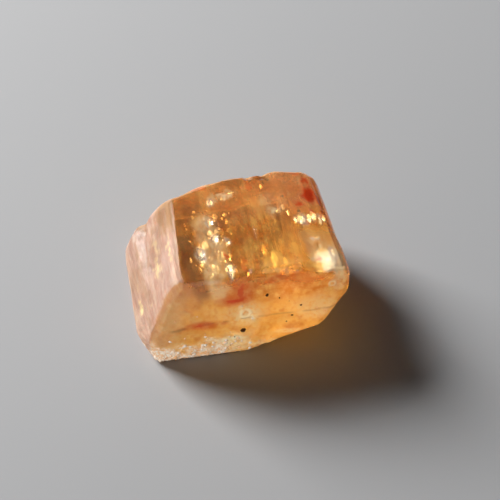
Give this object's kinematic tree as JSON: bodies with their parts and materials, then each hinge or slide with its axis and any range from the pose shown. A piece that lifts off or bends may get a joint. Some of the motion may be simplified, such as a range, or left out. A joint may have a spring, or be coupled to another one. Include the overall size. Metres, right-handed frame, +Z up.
{
  "type": "topaz crystal",
  "caption": "Rough see-through amber crystal with flat grooved prism faces, worn edges and broken ends, lying on one flat side.",
  "frame": {"origin": "middle of the crystal's outline seen from above, on the plane of the flat face that it rests on", "axes": "+Z up, away from the rest face; +X across the prism, the widest measure, towards the bright high end; +Y along the prism direction and its grooves, from the broken front end to the rear end"},
  "size_m": [0.0104, 0.0074, 0.0053],
  "materials": {
    "topaz": "clear amber mineral with polished to frosted natural faces"
  },
  "bodies": {
    "root": {"topaz_crystal": "topaz"}
  },
  "joints": []
}
